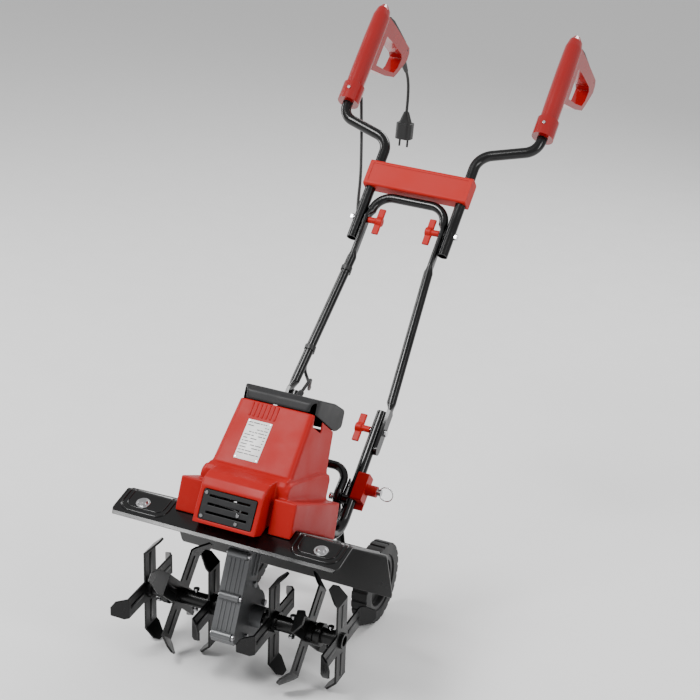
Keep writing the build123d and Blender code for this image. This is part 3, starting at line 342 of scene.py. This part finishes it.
# ---------------------------------------------------------------- rounded copies of the machined and moulded parts
for node, width in (("front_grille", 0.0012),
                    ("crossbar", 0.003), ("lock_housing", 0.0025), ("tine_guard", 0.0007),
                    ("gearbox_shell_left", 0.0022), ("gearbox_shell_right", 0.0022), ("gearbox_bolts", 0.0006),
                    ("housing_screws", 0.0004), ("deck_bolts", 0.0008), ("bracket_bolts", 0.0006),
                    ("pivot_bolts", 0.0006), ("hub_bolts", 0.0006), ("wheel_axle", 0.0008), ("lock_pin", 0.0008),
                    ("upper_screws", 0.0005), ("cable_clips", 0.0006), ("lock_off_button", 0.0010),
                    ("tine_hub_left", 0.0012), ("tine_hub_right", 0.0012), ("mains_plug", 0.0022),
                    ("tyre_left", 0.0018), ("tyre_right", 0.0018), ("wheel_rim_left", 0.0015),
                    ("wheel_rim_right", 0.0015), ("strain_relief", 0.0008), ("wheel_bracket", 0.0004),
                    ("lower_tube_left", 0.0004), ("lower_tube_right", 0.0004), ("upper_tube_left", 0.0004),
                    ("upper_tube_right", 0.0004), ("middle_frame", 0.0004), ("output_shaft", 0.0006)):
    rounded(node, width)

softened("motor_housing", 0.0015, 22, 0.35)
softened("top_cover", 0.0012, 44, 0.4)
for side in ("left", "right"):
    for station in (1, 2, 3):
        rounded(f"tine_star_{side}_{station}", 0.0011)
    for level in ("lower", "upper"):
        softened(f"wing_knob_{level}_{side}", 0.0008, 10)
    rounded(f"grip_{side}", 0.0018, 4, 24)
    rounded(f"switch_lever_{side}", 0.0022)

# ---------------------------------------------------------------- stamped ribs along the tine arms
STATIONS = (62.0, 132.0, 197.5)
TURNS = (8.8, 53.8, 8.8)
for side, sign in (("left", -1), ("right", 1)):
    for index, (x, turn) in enumerate(zip(STATIONS, TURNS)):
        work = bmesh.new()
        for arm in range(4):
            angle = math.radians(turn + 90 * arm)
            out = Vector((0, math.cos(angle), math.sin(angle)))
            across = Vector((1, 0, 0)).cross(out)
            for face in (-1, 1):
                centre = AXIS + Vector((sign * x / 1000 + face * 0.0021, 0, 0)) + out * 0.053
                add_box(work, centre, out, across, Vector((1, 0, 0)), (0.048, 0.008, 0.0022), 0.0009)
        from_bmesh(f"star_ribs_{side}_{index + 1}", work, "tine_rotor", TINE)

# ---------------------------------------------------------------- beads pressed into the deck
def deck_height(y):
    if y < -124:
        return 190 + (y + 124) * (190 - 152) / (178 - 124)
    return 190 - (y + 124) * 28 / 201


def deck_loop(x_from, x_to, y_from, y_to, corner, sign):
    """Rounded rectangle drawn on the deck, as a closed row of points."""
    corners = ((x_to - corner, y_to - corner, 0), (x_from + corner, y_to - corner, 90),
               (x_from + corner, y_from + corner, 180), (x_to - corner, y_from + corner, 270))
    points = []
    for cx, cy, start in corners:
        for step in range(7):
            angle = math.radians(start + 15 * step)
            points.append((cx + corner * math.cos(angle), cy + corner * math.sin(angle)))
    dense = []
    for (x0, y0), (x1, y1) in zip(points, points[1:] + points[:1]):
        count = max(1, int(math.hypot(x1 - x0, y1 - y0) / 8))
        for step in range(count):
            t = step / count
            dense.append((x0 + (x1 - x0) * t, y0 + (y1 - y0) * t))
    return [machine(sign * x, y, deck_height(y) - 0.2) for x, y in dense]


for side, sign in (("left", -1), ("right", 1)):
    for index, inset in enumerate((0, 9)):
        loop = deck_loop(124 + inset, 217 - inset, -170 + inset, 66 - inset, 20 - inset * 0.6, sign)
        tube_piece(f"deck_bead_{side}_{index + 1}", loop, 0.0021 - 0.0006 * index, "machine", PAINT,
                   cyclic=True, kind="POLY")
work = bmesh.new()
for sign in (-1, 1):
    slope = (machine(0, -124, 190) - machine(0, -178, 152)).normalized()
    normal = Vector((1, 0, 0)).cross(slope)
    add_disc(work, machine(sign * 177.5, -149, 172.8), normal, 0.0135, 0.0012, 40, 0.96)
    add_disc(work, machine(sign * 177.5, -149, 173.6), normal, 0.0098, 0.0046, 40, 0.62)
from_bmesh("deck_bolt_domes", work, "machine", CHROME, 30)

# ---------------------------------------------------------------- rating plate with blank bars
FACE_UP = (machine(0, -50, 400) - machine(0, -131, 238)).normalized()
FACE_OUT = FACE_UP.cross(Vector((1, 0, 0))) * -1
if FACE_OUT.y > 0:
    FACE_OUT = FACE_OUT * -1


def on_face(x, z, lift=0.0):
    """Point on the housing's front face at height z up the column."""
    y = -131 + (z - 238) * 81 / 162
    return machine(x, y, z) + FACE_OUT * lift


work = bmesh.new()
add_box(work, on_face(-17, 325, 0.0004), Vector((1, 0, 0)), FACE_UP, FACE_OUT, (0.048, 0.080, 0.0009), 0.0003)
from_bmesh("rating_plate", work, "machine", LABEL, 30)
work = bmesh.new()
for row in range(11):
    z = 356 - 5.6 * row
    x = -38.0
    while x < 2:
        length = random.choice((3.0, 5.0, 8.0, 12.0))
        length = min(length, 4 - x)
        if length > 1.5 and random.random() > 0.16:
            add_box(work, on_face(x + length / 2, z, 0.0009), Vector((1, 0, 0)), FACE_UP, FACE_OUT,
                    (length / 1000, 0.0016, 0.0003))
        x += length + 1.8
from_bmesh("rating_plate_bars", work, "machine", INK, 30)
work = bmesh.new()
for x in (-38, 4):
    for z in (292, 358):
        add_disc(work, on_face(x, z, 0.0006), FACE_OUT, 0.0016, 0.0010, 20)
from_bmesh("rating_plate_rivets", work, "machine", ZINC, 30)

# moulded flutes under the cover
work = bmesh.new()
for step in range(7):
    add_box(work, on_face(-44 + 8.4 * step, 379, 0.0002), Vector((1, 0, 0)), FACE_UP, FACE_OUT,
            (0.0040, 0.028, 0.0024), 0.0009)
from_bmesh("housing_flutes", work, "machine", RED_SHELL)

# ---------------------------------------------------------------- ribs on the front of the gear case
work = bmesh.new()
for x in (-13, -5, 5, 13):
    add_box(work, machine(x, -84.3, 62), Vector((1, 0, 0)), COLUMN, BACKWARD, (0.0026, 0.206, 0.0026), 0.0008)
from_bmesh("gear_case_ribs", work, "machine", CAST)

# ---------------------------------------------------------------- lock spring
LOCK = on_handle(False, -120, 0, 0)
turns, wire = 7, 0.0008
helix = []
for step in range(turns * 16 + 1):
    angle = 2 * math.pi * step / 16
    x = 0.1152 + (0.1350 - 0.1152) * step / (turns * 16)
    helix.append(Vector((x, LOCK.y + 0.0062 * math.cos(angle), LOCK.z + 0.0062 * math.sin(angle))))
spring = tube_piece("lock_spring_coil", helix, wire, "machine", ZINC, kind="POLY")
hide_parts("lock_spring")
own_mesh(spring)

# ---------------------------------------------------------------- supply cable along the handle
CABLE = 0.00325
BEHIND = -14.8


def leg_x(u):
    return 104.2 + (u - 62) * (84.0 - 104.2) / (352 - 62)


def behind_leg(u):
    return on_handle(False, u, BEHIND, -leg_x(u))


ABOVE_FOLD = on_handle(True, 40, -17, -121)
BELOW_FOLD = on_handle(True, -36, -18, -97)
MEETING = ABOVE_FOLD + (BELOW_FOLD - ABOVE_FOLD) * 0.51
BETWEEN_CLIPS = on_handle(False, 214, BEHIND - 1, -leg_x(214))
CLIP_END = behind_leg(128)
SLEEVE_AXIS = Vector((0, 0.94, 0.342))
SLEEVE_END = world(-22, 205, 462) + SLEEVE_AXIS * 0.032
HANDLE_CABLE = [on_handle(True, 292, -30, -206), on_handle(True, 262, -37, -197), on_handle(True, 205, -36, -176),
                on_handle(True, 110, -28, -142), ABOVE_FOLD, MEETING, BELOW_FOLD, on_handle(True, -76, -17.5, -87),
                behind_leg(340), BETWEEN_CLIPS, CLIP_END]
MOTOR_CABLE = [CLIP_END, CLIP_END + (CLIP_END - BETWEEN_CLIPS).normalized() * 0.030, on_handle(False, 64, -16, -76),
               world(-52, 340, 436), SLEEVE_END + SLEEVE_AXIS * 0.044, SLEEVE_END]


def eased(points, share=0.45, steps=7):
    """Route with its corners turned into arcs, as in the CAD route."""
    result = [points[0]]
    for before, here, after in zip(points, points[1:], points[2:]):
        reach = share * min((here - before).length, (after - here).length)
        enter = here + (before - here).normalized() * reach
        leave = here + (after - here).normalized() * reach
        for step in range(steps + 1):
            t = step / steps
            result.append(enter * (1 - t) ** 2 + here * 2 * t * (1 - t) + leave * t ** 2)
    result.append(points[-1])
    return result


upper_cable = tube_piece("supply_cable_handle", eased(HANDLE_CABLE), CABLE, None, RUBBER, kind="POLY")
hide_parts("supply_cable_upper", "supply_cable_middle")
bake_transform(upper_cable)
motor_cable = tube_piece("supply_cable_motor", eased(MOTOR_CABLE), CABLE, None, RUBBER, kind="POLY")
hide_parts("supply_cable_lower")
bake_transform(motor_cable)

# ---------------------------------------------------------------- mains lead
RELIEF_ROOT = on_handle(True, 486, -183.4, -212.4)
RELIEF_END = world(-212, 1130, 927)
RELIEF_AXIS = (RELIEF_END - RELIEF_ROOT).normalized()
LEAD = [RELIEF_END, RELIEF_END + RELIEF_AXIS * 0.024, world(-210, 1155, 868), world(-210, 1155, 829)]
lead = tube_curve("mains_lead_cord", LEAD, CABLE)
lead.data.materials.append(RUBBER)
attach(lead, "upper_handle")
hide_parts("mains_lead")

# ---------------------------------------------------------------- floor, light and camera
floor_mesh = bpy.data.meshes.new("floor")
work = bmesh.new()
bmesh.ops.create_grid(work, x_segments=1, y_segments=1, size=14)
work.to_mesh(floor_mesh)
work.free()
floor = bpy.data.objects.new("floor", floor_mesh)
bpy.context.scene.collection.objects.link(floor)
floor_mesh.materials.append(finish_of("floor_pale", (0.84, 0.84, 0.84), 0.6, grain=60, grain_depth=0.02, mottle=0.01))

scene = bpy.context.scene
backdrop = bpy.data.worlds.new("studio")
scene.world = backdrop
backdrop.use_nodes = True
backdrop.node_tree.nodes["Background"].inputs["Color"].default_value = (1, 1, 1, 1)
backdrop.node_tree.nodes["Background"].inputs["Strength"].default_value = 0.62


def softbox(name, place, target, size_x, size_y, power):
    light = bpy.data.lights.new(name, "AREA")
    light.shape = "RECTANGLE"
    light.size = size_x
    light.size_y = size_y
    light.energy = power
    obj = bpy.data.objects.new(name, light)
    scene.collection.objects.link(obj)
    obj.location = place
    obj.rotation_euler = (Vector(target) - Vector(place)).to_track_quat("-Z", "Y").to_euler()


softbox("key", (-1.6, -2.2, 3.6), (0, 0, 0.4), 1.4, 1.4, 170)
softbox("fill", (3.2, -1.2, 2.2), (0, 0, 0.5), 0.5, 2.6, 50)
softbox("rim", (0.6, 3.0, 2.8), (0, 0, 0.6), 2.2, 0.8, 80)
softbox("strip", (-3.2, 0.4, 1.2), (0, 0, 0.6), 0.4, 2.6, 40)

camera_data = bpy.data.cameras.new("camera")
camera_data.sensor_width = 36
camera_data.lens = 103.42
camera = bpy.data.objects.new("camera", camera_data)
scene.collection.objects.link(camera)
right = Vector((0.9155, 0.3916, 0.0926))
up = Vector((-0.2107, 0.2704, 0.9395))
back = Vector((0.3429, -0.8795, 0.3300))
turn = Matrix((right, up, back)).transposed().to_4x4()
camera.matrix_world = Matrix.Translation(Vector((1.3600, -3.0795 + AXIS_Y, 1.8212))) @ turn
scene.camera = camera
